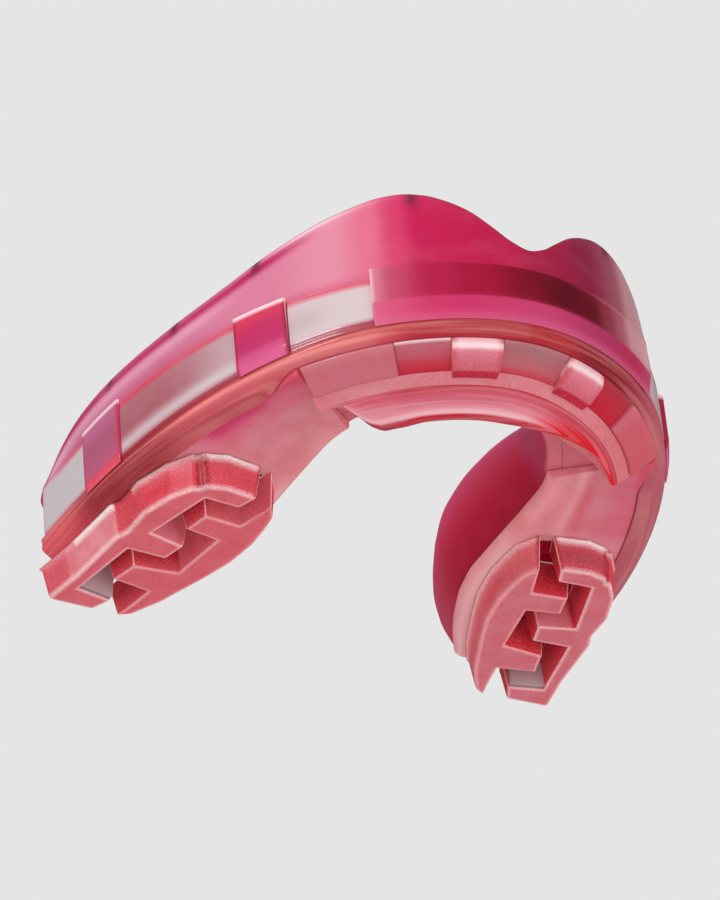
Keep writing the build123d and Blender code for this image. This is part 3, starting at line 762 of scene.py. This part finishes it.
# ---------------------------------------------------------------------------
# Tints.  Stops are (place, colour); layers are (colour, weight by place).
# ---------------------------------------------------------------------------
def flange_tint(pos, out, z):
    far = abs(pos)
    depth = rim_z(far) - z
    outer = out > -1.3
    return layered(
        # Along the arch: pink at negative stations, crimson near the middle, darkest near station
        # 0.12, grey-pink past 0.25; this unevenness is painted light and shade
        gradient(pos, (-1.05, "#E0AEC2"), (-0.9, "#C47090"), (-0.7, "#C66A8A"),
                 (-0.45, "#D27A96"), (-0.33, "#DC889F"), (-0.262, "#DA6C88"),
                 (-0.222, "#D03C68"), (-0.18, "#C01850"), (-0.05, "#BC1448"), (0.03, "#A61240"),
                 (0.12, "#8E1640"), (0.19, "#9C4A5C"), (0.25, "#CC929A"), (0.34, "#E2B6BA"),
                 (0.60, "#E0A2B0"), (1.0, "#DBA0B2")),
        # outer face: a crimson line and a painted highlight below the top edge, a paler band
        # lower down, then the line above the windows
        ("#B0164E", outer * bell(depth, 1.35, 0.55) * step(far, 0.33, 0.46)),
        ("#FBE0E6", outer * 0.8 * bell(depth, 0.62, 0.32) * bell(far, 0.36, 0.09)),
        ("#F0B9CB", outer * 0.55 * bell(depth, 2.4, 0.9) * step(far, 0.45, 0.6)),
        ("#C8506C", outer * 0.5 * bell(z, window_top(far) + 0.2, 0.5) * step(far, 0.25, 0.3)),
        # inner face
        ("#B02058", 0.0 if outer else 0.35),
        # painted shade of the fins behind, showing through the outer face and weaker on the inner
        # face
        *(("#6A2038", 0.95 * bell(far, place, FIN_HALF) * step(depth, 2.3, 0.9)
           * (1.0 if outer else 0.4)) for place in SHADED_FINS),
        # top edge
        ("#8E2C4A", 0.75 * step(depth, 0.34, 0.02)))


def palatal_tint(pos, out, z):
    far = abs(pos)
    height = (z - FLOOR_LOW) / (palate_z(far) - FLOOR_LOW)
    seam_line = step(far, 0.425, 0.41) * step(z, FLOOR_LOW + 0.35, FLOOR_LOW + 0.1)
    # Darker at the foot and paler towards the top edge: painted shade
    return layered(
        gradient(height, (0.0, "#9E0E2C"), (0.35, "#AC1236"), (0.62, "#B62846"),
                 (0.85, "#BE4268"), (1.0, "#C25A80")),
        ("#C04A66", 0.75 * step(far, 0.84, 1.03)),
        ("#B0446E", 0.6 * step(far, 0.50, 0.42)),
        ("#CC6E7A", seam_line if out > seam_out(far) - 0.05 else 0.0))


def floor_tint(pos, out, z):
    return layered("#A80E2C", ("#CC6E7A", step(abs(pos), 0.425, 0.41) * step(z, 5.1, 4.9)))


def window_height(far, z):
    """0 at the lower edge of the windows, 1 at the upper."""
    low = window_low(far)
    return (z - low) / (window_top(far) - low)


def window_tint(pos, out, z):
    far = abs(pos)
    height = window_height(far, z)
    # The greys and dusty pinks are a painted view through the clear windows; the pale line near
    # the foot and the pale top edge are painted highlights
    if far < 0.45:
        color = layered("#D2C2C5", ("#C4AEB2", bell(height, 0.45, 0.3) * step(far, 0.30, 0.40)))
    elif far < 0.8:
        color = layered("#AC6A74", ("#BFA0A6", step(far, 0.66, 0.50)),
                        ("#A65A66", 0.8 * bell(height, 0.42, 0.2) * step(far, 0.55, 0.70)),
                        ("#D2C6C8", 0.85 * bell(height, 0.13, 0.13)))
    else:
        color = "#C6BDC0"
    return layered(
        color,
        ("#DC3B58", 0.9 * step(height, 0.84, 0.98) * step(1.03 - far, 0.0, 0.12)),
        ("#F2C2C8", 0.7 * step(height, 0.985, 1.0)),
        ("#C0707C", 0.5 * step(height, 0.08, 0.0)))


def band_tint(pos, out, z):
    lower = gradient(pos, (-0.267, "#D65C80"), (-0.15, "#CC3568"), (0.0, "#C84072"),
                     (0.12, "#B23462"), (0.2, "#B82654"), (0.267, "#C04468"))
    top_line = bell(z, window_top(abs(pos)) + BAND_TOP, 0.28)
    # The band is darkest near station 0.04 and pale towards both ends, as painted shade and
    # light; the pale edge at station -0.267 is a painted highlight
    return layered(
        gradient(pos, (-0.267, "#E8B4BC"), (-0.258, "#CC7486"), (-0.235, "#C04A6C"),
                 (-0.17, "#B01C48"), (-0.10, "#A21038"), (-0.02, "#7C0824"), (0.04, "#5E061A"),
                 (0.095, "#68081E"), (0.131, "#8E3444"), (0.165, "#A85A68"), (0.20, "#CC929A"),
                 (0.267, "#DCAAB0")),
        (lower, step(z, 7.9, 7.55)),
        ("#D8688C", 0.6 * step(z, 6.6, 5.6)),
        ("#E07A8C", 0.6 * top_line * step(pos, 0.0, 0.15)))


def rib_tint(pos, out, z):
    far = abs(pos)
    height = window_height(far, z)
    if far < 0.6:
        color = layered(
            gradient(height, (-0.12, "#D6608C"), (0.12, "#C84E7E"), (0.28, "#B83064"),
                     (0.6, "#BC2E5E"), (0.95, "#CC3A58"), (1.05, "#E27080")),
            ("#A0203C", 0.8 * (step(far, 0.417, 0.411) + step(far, 0.498, 0.504))))
    else:
        color = layered(
            gradient(height, (-0.15, "#E4566A"), (-0.02, "#DC4A62"), (0.06, "#B45878"),
                     (0.5, "#A95672"), (0.95, "#B86488"), (1.05, "#D890A8")),
            ("#C03A54", 0.7 * (step(far, 0.782, 0.776) + step(far, 0.873, 0.879))))
    # The pale top line is a painted highlight on the top bevel
    return layered(color, ("#FBE3E6", 0.9 * step(height, 0.995, 1.04)))


def rim_tint(pos, out, z):
    far = abs(pos)
    height = (z - 3.5) / (window_low(far) - 3.5)
    front = step(far, 0.30, 0.18)
    front_color = gradient(height, (0.0, "#A82432"), (0.55, "#B42E36"), (0.67, "#C04040"),
                           (0.76, "#DC7A6C"), (0.84, "#C64C4C"), (0.92, "#C04A6C"),
                           (1.0, "#D070A0"))
    # Across the rim: a pale salmon painted highlight halfway up and a dark band in the groove
    # under the windows as painted shade; at the front a thin orange painted highlight sits higher
    # up
    return layered(
        gradient(height, (0.0, "#B4484E"), (0.16, "#C4525C"), (0.34, "#D0606A"),
                 (0.50, "#E88A86"), (0.60, "#C85656"), (0.76, "#9C343C"), (0.92, "#A03C50"),
                 (1.0, "#C07088")),
        (front_color, front),
        ("#B08078", 0.55 * front * step(pos, -0.04, 0.06) * bell(height, 0.80, 0.14)),
        ("#861A28", 0.95 * step(pos, 0.04, 0.115) * step(height, 0.96, 0.76)),
        ("#962C34", 0.85 * step(far, 0.58, 0.76)),
        ("#D4525E", step(far, 0.86, 0.98)),
        ("#D48A94", 0.55 * step(pos, 0.15, 0.35)))


def lip_tint(pos, out, z):
    inward = (-out - 4.8) / (4.1 * max(depth_scale(lip_out(pos)), 0.05))
    right_end = gradient(inward, (0.0, "#D4566A"), (0.5, "#E58C9A"), (0.66, "#F0B4BC"),
                         (0.74, "#B82E42"), (1.0, "#A42638"))
    left_part = gradient(inward, (0.0, "#C23E50"), (0.28, "#CA4654"), (0.45, "#DA182A"),
                         (1.0, "#D41022"))
    # The pale pink strip just before the red free edge is a painted highlight
    return layered(
        gradient(inward, (0.0, "#C43848"), (0.12, "#D0566A"), (0.36, "#D66C80"),
                 (0.50, "#E8909E"), (0.64, "#F0BEC4"), (0.72, "#C42034"), (1.0, "#BC1428")),
        (right_end, step(pos, -0.22, -0.30)),
        (left_part, step(pos, 0.03, 0.17)))


def bar_tint(pos, out, z):
    # The paler patches near station -0.30 and near station 0.10 on either side are painted
    # highlights
    return layered("#D2606E",
                   ("#E08C94", 0.5 * bell(pos, -0.30, 0.08) + 0.35 * bell(abs(pos), 0.10, 0.06)),
                   ("#C83C4C", 0.5 * step(pos, 0.14, 0.3)))


def pane_tint(pos, out, z):
    height = (z - ROW_INNER[1]) / (ROW_OUTER[1] - ROW_INNER[1])
    if abs(pos) > SIDE_END:
        color = gradient(height, (0.0, "#C86E7A"), (0.5, "#C76C78"), (1.0, "#CF8088"))
        return layered(color, ("#C8505E", 0.6 * step(pos, 0.2, 0.3)))
    if abs(pos) < MIDDLE_END:
        return gradient(height, (0.0, "#C8404E"), (0.3, "#BC6870"), (0.8, "#A87078"),
                        (1.0, "#B87A80"))
    if pos > BLOCK_END:
        return gradient(height, (0.0, "#C01830"), (0.5, "#B82438"), (1.0, "#A83440"))
    # Side pane at negative stations: its pale top edge is a painted highlight
    return gradient(height, (0.0, "#C41E38"), (0.25, "#C43A4C"), (0.55, "#C05C6C"),
                    (0.88, "#BE6A78"), (0.97, "#F4CCCE"), (1.0, "#F8DEDE"))


def block_tint(pos, out, z):
    if z < 2.17 and out < -2.7:
        return "#B81636"
    height = (z - 2.19) / (ROW_OUTER[1] - 2.19)
    # Paler upwards, with a painted highlight along the top bevel
    color = gradient(height, (0.0, "#C83C58"), (0.40, "#D4607A"), (0.55, "#DA7488"),
                     (0.66, "#F2BCC4"), (1.0, "#EFA8B2"))
    from_end = min(abs(abs(pos) - MIDDLE_END), abs(abs(pos) - BLOCK_END))
    return layered(color, ("#C01C3A", 0.85 * step(from_end, 0.008, 0.002)))


def block_highlight(pos, out, z):
    return 0.0 if z < 2.15 else 0.7 * bell(z, 3.65, 0.3) + 0.10


def across_skin(far, out):
    """Share of the way from out = -2 to the inner edge."""
    return (out + 2.0) / (seam_out(far) + 2.0)


def skin_tint(pos, out, z):
    far = abs(pos)
    across = across_skin(far, out)
    right_line = step(far, 0.46, 0.52) * step(far, 0.66, 0.60) * step(pos, 0.1, -0.1)
    left_spot = bell(across, 0.55, 0.10) * bell(far, 0.55, 0.10) * step(pos, -0.1, 0.1)
    return layered(
        gradient(across, (0.0, "#CC5068"), (0.14, "#D26A80"), (0.45, "#D2838F"),
                 (0.75, "#D8868E"), (1.0, "#E6949A")),
        ("#C22A66", 0.75 * bell(across, 0.10, 0.07) * right_line),
        ("#C8323E", 0.45 * left_spot),
        ("#DC6A74", 0.6 * step(across, 0.72, 0.95) * step(far, 0.6, 0.75)))


def skin_highlight(pos, out, z):
    far = abs(pos)
    across = across_skin(far, out)
    return (0.35 * bell(across, 0.93, 0.05) * step(far, 0.62, 0.72)
            + 0.15 * step(far, 0.60, 0.66)
            + 0.2 * bell(across, 0.62, 0.06) * step(pos, -0.1, 0.1))


def slot_wall_tint(side, z):
    # Darker deeper into the slot: painted shade
    return layered("#D44A58" if side < 0 else "#CC2A3A", ("#A81228", step(z, 0.3, 2.6)))


# (up to this station, painted highlight along the top of the outer pad)
OUTER_PAD_SHINE = ((0.662, 1.0), (0.80, 0.45), (0.862, 0.0), (0.985, 1.0), (math.inf, 0.15))


def outer_pad_paint(corner, station, side, z, level, turn, wall, along):
    """Tint and highlight."""
    if level == 0:
        return "#D8626F" if side < 0 else "#CE6C78", 0.0
    if wall and z > 0.1:
        color = slot_wall_tint(side, z)
        if corner == 16:
            color = "#D27480"
        if corner == 12 and along > 0:
            color = "#B09094"
        return color, 0.55 * turn if turn > 0.2 else 0.0
    left = side > 0
    end_wall = corner in (8, 9)
    # The groove at corners 2 and 3 and the recess at corners 6 and 7 are darkened as painted
    # shade; the end wall at corners 8 and 9 is paler as painted light
    color = layered(
        "#D85A68",
        ("#D02438", bell(z, 1.3, 0.9) * (0.8 if corner in (4, 5) else 0.3)),
        ("#C83848", 0.7 * (corner in (6, 7))),
        ("#D46874", 1.0 * end_wall),
        ("#DE8A92", end_wall * (0.5 + 0.5 * bell(station, 0.93, 0.06))),
        ("#C84456", 0.7 * (station > 1.0)),
        ("#A81C30", 0.9 * (corner in (2, 3))),
        ("#A84450", 0.75 * bell(z, 1.7, 1.1) * (left and corner in (0, 1))),
        ("#D8344A", 0.45 * (left and 4 <= corner <= 9)))
    shine = next(value for end, value in OUTER_PAD_SHINE if station < end)
    highlight = bell(z, 3.25, 0.34) * shine + 0.55 * bell(z, 0.08, 0.12)
    if level in (1, 2) and not wall:
        highlight = max(highlight, 0.35)
    return color, highlight


def inner_pad_paint(corner, station, side, z, level, turn, wall, along):
    """Tint and highlight."""
    if level == 0:
        return "#D65E6A" if side < 0 else "#CE6E7A", 0.0
    if wall and z > 0.1:
        color = "#D4606C" if corner in (0, 1, 4) and side < 0 else slot_wall_tint(side, z)
        return color, 0.75 * turn if turn > 0.2 else 0.0
    color = layered("#DE727C", ("#D85560", bell(z, 1.5, 0.9)),
                    ("#CC1E34" if side < 0 else "#DC7078", 0.8 * (station < 0.70)))
    return color, 0.45 * bell(z, 3.2, 0.3) + 0.3 * bell(z, 0.08, 0.12)


# ---------------------------------------------------------------------------
# Upper shell and front pieces
# ---------------------------------------------------------------------------
build("gum_flange_wall",
      strip(-ARCH_END, ARCH_END, flange_section, radius=FLANGE_RADII, segments=4,
            end_radius=0.5, end_rows=4, step_length=0.007, longest=0.5),
      "gum_flange", "flange_pink", FLANGE, flange_tint)
build("trough_floor_mesh",
      strip(-ARCH_END, ARCH_END, floor_section, radius=0.15, end_radius=0.12),
      "trough_floor", "fit_crimson", PALATE, floor_tint)
build("palatal_wall",
      strip(-ARCH_END, ARCH_END, palatal_section, radius=PALATAL_RADII, segments=4,
            end_radius=0.3, end_rows=4, longest=0.6),
      "palatal_flange", "fit_crimson", PALATE, palatal_tint)
build("outer_fins",
      join([fin(outer_fin_section(far), side * far) for far in FINS for side in (-1, 1)]),
      "outer_fit_fins", "flange_pink", FLANGE, lambda pos, out, z: "#9A3A54")
build("inner_fins",
      join([fin(inner_fin_section(far), side * far) for far in FINS[2:] for side in (-1, 1)]),
      "inner_fit_fins", "fit_crimson", PALATE, lambda pos, out, z: "#A02040")
build("lower_rim_mesh",
      strip(-ARCH_END + 0.004, ARCH_END - 0.004, rim_section, radius=RIM_RADII,
            end_radius=0.3, longest=0.35),
      "lower_rim", "rim_salmon", RIM, rim_tint)
build("front_band_mesh",
      strip(-BAND_END, BAND_END, band_section, radius=BAND_RADII, end_radius=0.07,
            step_length=0.006, longest=0.5),
      "front_band", "band_crimson", BAND, band_tint)
build_pair("cheek_ribs", "cheek_ribs",
           [strip(start + SPLIT, end - SPLIT, rib_section, radius=RIB_RADII, end_radius=0.08,
                  step_length=0.006, longest=0.5) for start, end in RIBS],
           "band_crimson", RIB, rib_tint)
build_pair("windows", "clear_windows",
           [strip(start + SPLIT, end - SPLIT, window_section, radius=0.09, end_radius=0.06,
                  longest=0.4) for start, end in WINDOWS],
           "window_clear", WINDOW, window_tint)
build("front_bar", strip(-BAR_END, BAR_END, bar_section, radius=BAR_RADII, longest=0.5),
      "front_bite_bar", "bite_frosted", BAR, bar_tint, {**MASKS, "hl": lambda pos, out, z: 0.12})
build("front_lip_mesh",
      strip(LIP_START, BAR_END, lip_section, radius=LIP_RADII, segments=4, end_radius=0.3,
            end_rows=4, step_length=0.006, longest=0.35),
      "front_lip", "rim_salmon", LIP, lip_tint)


def row_parts(section, spans, **shape):
    return [strip(start + ROW_SPLIT, end - ROW_SPLIT, section, **shape) for start, end in spans]


PANE_SPANS = ((-SIDE_END, -BLOCK_END), (-MIDDLE_END, MIDDLE_END), (BLOCK_END, SIDE_END))
SHOULDER_SPANS = ((-SHOULDER_END, -SIDE_END), (SIDE_END, SHOULDER_END))
BLOCK_SPANS = ((-BLOCK_END, -MIDDLE_END), (MIDDLE_END, BLOCK_END))
build("front_panes",
      join(row_parts(PANE_SECTION, PANE_SPANS, radius=0.06, end_radius=0.05, longest=0.3)
           + row_parts(SHOULDER_SECTION, SHOULDER_SPANS, radius=0.12, end_radius=0.12,
                       longest=0.4)),
      "front_bite_panes", "bite_smooth", ROSE, pane_tint)
build("front_blocks",
      join(row_parts(BLOCK_SECTION, BLOCK_SPANS, radius=BLOCK_RADII, end_radius=0.12,
                     longest=0.3)),
      "front_bite_blocks", "bite_frosted", BLOCK, block_tint, {"hl": block_highlight, **MASKS})


# ---------------------------------------------------------------------------
# Bite skins with their slots, molar pads and slot panes
# ---------------------------------------------------------------------------
def cut(ob, cutter):
    modifier = ob.modifiers.new("slot", "BOOLEAN")
    modifier.operation = "DIFFERENCE"
    modifier.solver = "EXACT"
    modifier.object = cutter
    depsgraph = bpy.context.evaluated_depsgraph_get()
    mesh = bpy.data.meshes.new_from_object(ob.evaluated_get(depsgraph))
    ob.modifiers.remove(modifier)
    old = ob.data
    ob.data = mesh
    bpy.data.meshes.remove(old)
    bpy.data.objects.remove(cutter)


def edge_distance(ring, point):
    """Distance in plan from a point to a closed outline."""
    place = np.array([point[0], point[1]])
    edges = np.roll(ring, -1, axis=0) - ring
    share = np.clip(((place - ring) * edges).sum(1) / (edges * edges).sum(1), 0, 1)
    return float(np.sqrt((((ring + edges * share[:, None]) - place) ** 2).sum(1)).min())


def build_skin(side, word):
    part = strip(BAR_END + SPLIT, ARCH_END, skin_section, radius=SKIN_RADII, segments=4,
                 longest=0.6)
    if side < 0:
        part = mirrored(part)
    ob = painted("bite_skin_" + word, part, skin_tint, {"hl": skin_highlight, **MASKS})
    slot = prism(SLOT, SLOT, 3.0, 4.9, side)
    blank = {key: lambda pos, out, z: 0.0 for key in ("hl", "at", "up")}
    cut(ob, painted("cutter", slot, lambda pos, out, z: "#A20E26", blank))
    weight_normals(ob)
    ob.data.materials.clear()
    register(ob, word + "_bite_skin", "bite_smooth", SKIN, SLOT_WALL)
    # The upright faces along the slot take the second material
    ring = np.array([vert[:2] for vert in slot[0][:len(SLOT)]])
    for face in ob.data.polygons:
        upright = abs(face.normal.z) < 0.2
        face.material_index = int(upright and edge_distance(ring, face.center) < 3e-5)


def build_pad(kind, word, side, outline, slot_corners, paint):
    build(f"{kind}_pad_{word}", pad(outline, slot_corners, side),
          f"{word}_{kind}_bite_pad", "bite_frosted", PAD,
          lambda *place: paint(*place)[0], {"hl": lambda *place: paint(*place)[1]})


for side, word in ((1, "left"), (-1, "right")):
    build_skin(side, word)
    build_pad("outer", word, side, OUTER_PAD, OUTER_SLOT, outer_pad_paint)
    build_pad("inner", word, side, INNER_PAD, INNER_SLOT, inner_pad_paint)
build("slot_panes",
      join([prism(SLOT_PANE_FOOT, SLOT_PANE_HEAD, SLOT_PANE_LOW, SLOT_PANE_TOP, side)
            for side in (1, -1)]),
      "slot_windows", "window_clear", WINDOW,
      lambda pos, out, z: layered("#B69A9E", ("#A88C90", z / SLOT_PANE_TOP)))


# ---------------------------------------------------------------------------
# Studio
# ---------------------------------------------------------------------------
def build_floor(half=3, drop=0.0001):
    mesh = bpy.data.meshes.new("floor")
    corners = [(-half, -half, 0), (half, -half, 0), (half, half, 0), (-half, half, 0)]
    mesh.from_pydata(corners, [], [(0, 1, 2, 3)])
    floor = bpy.data.objects.new("floor", mesh)
    bpy.context.scene.collection.objects.link(floor)
    floor.location = (0, 0, -drop)
    material = bpy.data.materials.new("floor_pale")
    graph = Graph(material)
    pale = graph.node("BsdfPrincipled", {
        "Base Color": linear("#C4C4C4"), "Roughness": 0.9, "Specular IOR Level": 0.05,
        "Emission Color": linear("#E4E4E4"), "Emission Strength": 0.42})
    # Only the camera sees it, and only from above; it is clear from below
    backfacing = graph.node("NewGeometry").outputs["Backfacing"]
    above = graph.math(1.0, backfacing, operation="SUBTRACT")
    seen = graph.math(graph.node("LightPath").outputs["Is Camera Ray"], above)
    surface = graph.mix_shader(seen, graph.node("BsdfTransparent"), pale)
    graph.node("OutputMaterial", {"Surface": surface.outputs[0]})
    mesh.materials.append(material)


def build_world():
    """Pale to the camera, dark in reflections, and a soft vertical gradient as light."""
    world = bpy.data.worlds.new("studio")
    bpy.context.scene.world = world
    graph = Graph(world)
    direction = graph.node("TexCoord").outputs["Generated"]
    height = graph.node("SeparateXYZ", {0: direction}).outputs["Z"]
    height = graph.node("MapRange", {"From Min": -1.0, "Value": height}).outputs[0]
    sky = graph.ramp(height, (0.0, (1.06, 1.02, 1.02, 1)), (1.0, (0.78, 0.77, 0.78, 1)),
                     interpolation="LINEAR")
    light = graph.node("Background", {"Color": sky, "Strength": 0.69})
    reflected = graph.node("Background", {"Color": (0.10, 0.08, 0.085, 1)})
    backdrop = graph.node("Background", {"Color": linear("#E5E5E5")})
    path = graph.node("LightPath").outputs
    unseen = graph.mix_shader(path["Is Glossy Ray"], light, reflected)
    surface = graph.mix_shader(path["Is Camera Ray"], unseen, backdrop)
    graph.node("OutputWorld", {"Surface": surface.outputs[0]})


def area_light(name, location, size, power, gloss=True):
    """Square lamp aimed at the guard; `gloss` lets it show in reflections."""
    lamp = bpy.data.lights.new(name, "AREA")
    lamp.energy = power
    lamp.size = size
    ob = bpy.data.objects.new(name, lamp)
    bpy.context.scene.collection.objects.link(ob)
    ob.location = location
    aim = Vector((0, 0, 0.008)) - ob.location
    ob.rotation_euler = aim.to_track_quat("-Z", "Y").to_euler()
    ob.visible_glossy = gloss


def build_camera():
    # Degrees about z from -Y, above the horizon, and about the line of sight
    azimuth, elevation, roll = (math.radians(v) for v in (-30.686, -35.352, -5.382))
    # Distance from the arch, and shifts across and up the view, in drawing units
    distance, shift_x, shift_y = 350.102, -15.076, -4.530
    back = np.array([math.sin(azimuth) * math.cos(elevation),
                     -math.cos(azimuth) * math.cos(elevation), math.sin(elevation)])
    level = np.array([math.cos(azimuth), math.sin(azimuth), 0.0])
    upright = np.cross(back, level)
    right = math.cos(roll) * level + math.sin(roll) * upright
    up = -math.sin(roll) * level + math.cos(roll) * upright
    place = UNIT * (shift_x * right + shift_y * up + distance * back - np.array([0, MID_Y, 0]))
    camera = bpy.data.cameras.new("camera")
    camera.sensor_width = 36.0
    camera.lens = 161.16292
    camera.clip_start = 0.01
    camera.clip_end = 20.0
    ob = bpy.data.objects.new("camera", camera)
    bpy.context.scene.collection.objects.link(ob)
    rows = [(right[i], up[i], back[i], place[i]) for i in range(3)]
    ob.matrix_world = Matrix((*rows, (0, 0, 0, 1)))
    bpy.context.scene.camera = ob


build_floor()
build_world()
area_light("key_left", (-0.38, -0.16, 0.14), size=0.12, power=0.60)
area_light("front_low", (-0.02, -0.40, -0.20), size=0.34, power=0.35)
area_light("back_top", (0.10, 0.30, 0.36), size=0.16, power=0.6, gloss=False)
area_light("right_low", (0.36, -0.05, -0.12), size=0.14, power=0.25, gloss=False)
area_light("top_soft", (-0.10, -0.12, 0.42), size=0.14, power=0.45, gloss=False)
build_camera()

scene = bpy.context.scene
scene.view_settings.view_transform = "Standard"
scene.view_settings.look = "None"
scene.cycles.use_denoising = True
scene.cycles.max_bounces = 12
scene.cycles.transparent_max_bounces = 12
